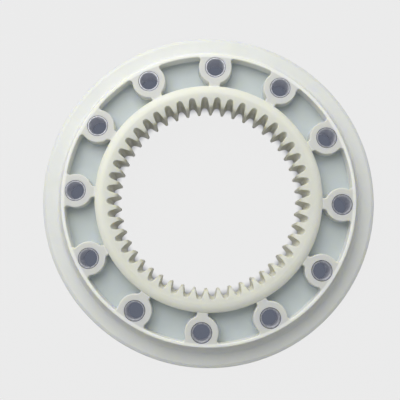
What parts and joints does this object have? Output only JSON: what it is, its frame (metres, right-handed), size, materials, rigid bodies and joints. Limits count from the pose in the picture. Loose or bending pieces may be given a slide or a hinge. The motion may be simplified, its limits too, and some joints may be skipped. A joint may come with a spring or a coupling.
{
  "type": "toothed coupling flange",
  "caption": "Round moulded drive-coupling flange with an internally toothed bore, a recessed web, steel-lined bolt bosses, a low outer wall and a plain rim.",
  "frame": {"origin": "on the axis of the toothed bore, at the back face of the toothed ring, which is the lowest face", "axes": "+Z along the bore axis towards the domed, ribbed side; +X through the first bolt boss"},
  "size_m": [0.26, 0.26, 0.028],
  "materials": {
    "nylon": "natural ivory nylon, satin as moulded, slightly translucent",
    "steel": "bright turned steel"
  },
  "bodies": {
    "root": {"coupling_flange": "nylon", "bolt_bush_01": "steel", "bolt_bush_02": "steel", "bolt_bush_03": "steel", "bolt_bush_04": "steel", "bolt_bush_05": "steel", "bolt_bush_06": "steel", "bolt_bush_07": "steel", "bolt_bush_08": "steel", "bolt_bush_09": "steel", "bolt_bush_10": "steel", "bolt_bush_11": "steel", "bolt_bush_12": "steel"}
  },
  "joints": []
}
